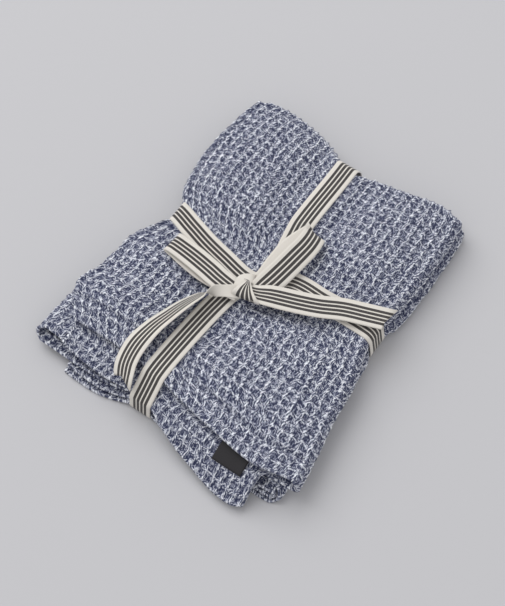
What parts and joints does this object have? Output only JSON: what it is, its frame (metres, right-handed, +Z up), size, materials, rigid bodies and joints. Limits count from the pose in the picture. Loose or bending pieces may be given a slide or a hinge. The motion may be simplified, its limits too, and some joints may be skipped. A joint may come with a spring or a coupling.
{
  "type": "folded waffle dishcloth tied with ribbon",
  "caption": "Waffle-weave dishcloth folded into a soft bundle, its hemmed edges fanned at one end, tied crosswise with a striped tape ribbon and bow.",
  "frame": {"origin": "centre of the bundle's underside, on the surface that it lies on", "axes": "+X along the bundle from its far doubled end to its near hemmed end, +Y across it towards the side with the two rolls, +Z up"},
  "size_m": [0.2394, 0.1884, 0.0368],
  "materials": {
    "cloth": "marled blue and white cotton in a coarse waffle weave",
    "ribbon": "cream woven tape with dark stripes, plain on the reverse",
    "label": "plain black woven label"
  },
  "bodies": {
    "root": {"cloth": "cloth", "ribbon": "ribbon", "label": "label"}
  },
  "joints": []
}
